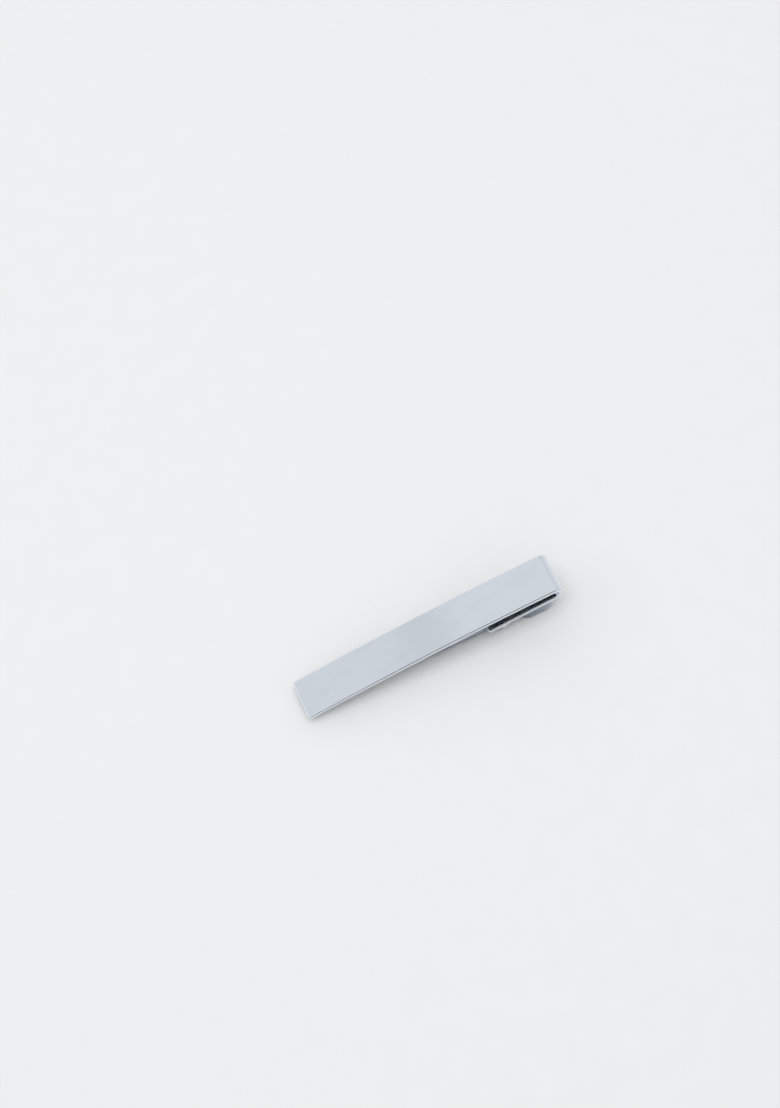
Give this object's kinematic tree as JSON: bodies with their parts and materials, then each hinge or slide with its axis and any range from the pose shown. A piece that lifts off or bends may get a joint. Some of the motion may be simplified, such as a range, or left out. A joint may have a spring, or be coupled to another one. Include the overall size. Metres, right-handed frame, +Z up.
{
  "type": "tie clip",
  "caption": "Plain polished tie clip: a bowed strip folded round at one end, with a spring pinch lever behind it that bites the tie.",
  "frame": {"origin": "on the flat back of the lever, straight below the hinge axis; the clip lies face up on that back", "axes": "+X along the clip towards the folded end and thumb tail, -X towards the open mouth; +Z up out of the polished face; Y across, along the hinge axis"},
  "size_m": [0.0579, 0.0086, 0.0088],
  "materials": {
    "polished_plate": "mirror polished rhodium-tone plating, a few fine handling scratches",
    "satin_plate": "satin plated pressing",
    "pressed_steel": "satin plated pressing, tumbled edges",
    "rivet_steel": "turned and domed, smooth",
    "spring_wire": "drawn spring wire, slightly darker"
  },
  "bodies": {
    "clasp": {"clasp_lever": "pressed_steel"},
    "bar": {"face_bar": "polished_plate", "hinge_bracket": "satin_plate", "hinge_pin": "rivet_steel", "torsion_spring": "spring_wire"}
  },
  "joints": [
    {"name": "clasp_hinge", "type": "hinge", "parent": "clasp", "child": "bar", "pos_m": [0, 0, 0.0015], "axis": [0, 1, 0], "range_deg": [0, 15], "stiffness_Nm_per_rad": 0.1, "springref_deg": -45.84, "deforming": ["torsion_spring"]}
  ]
}
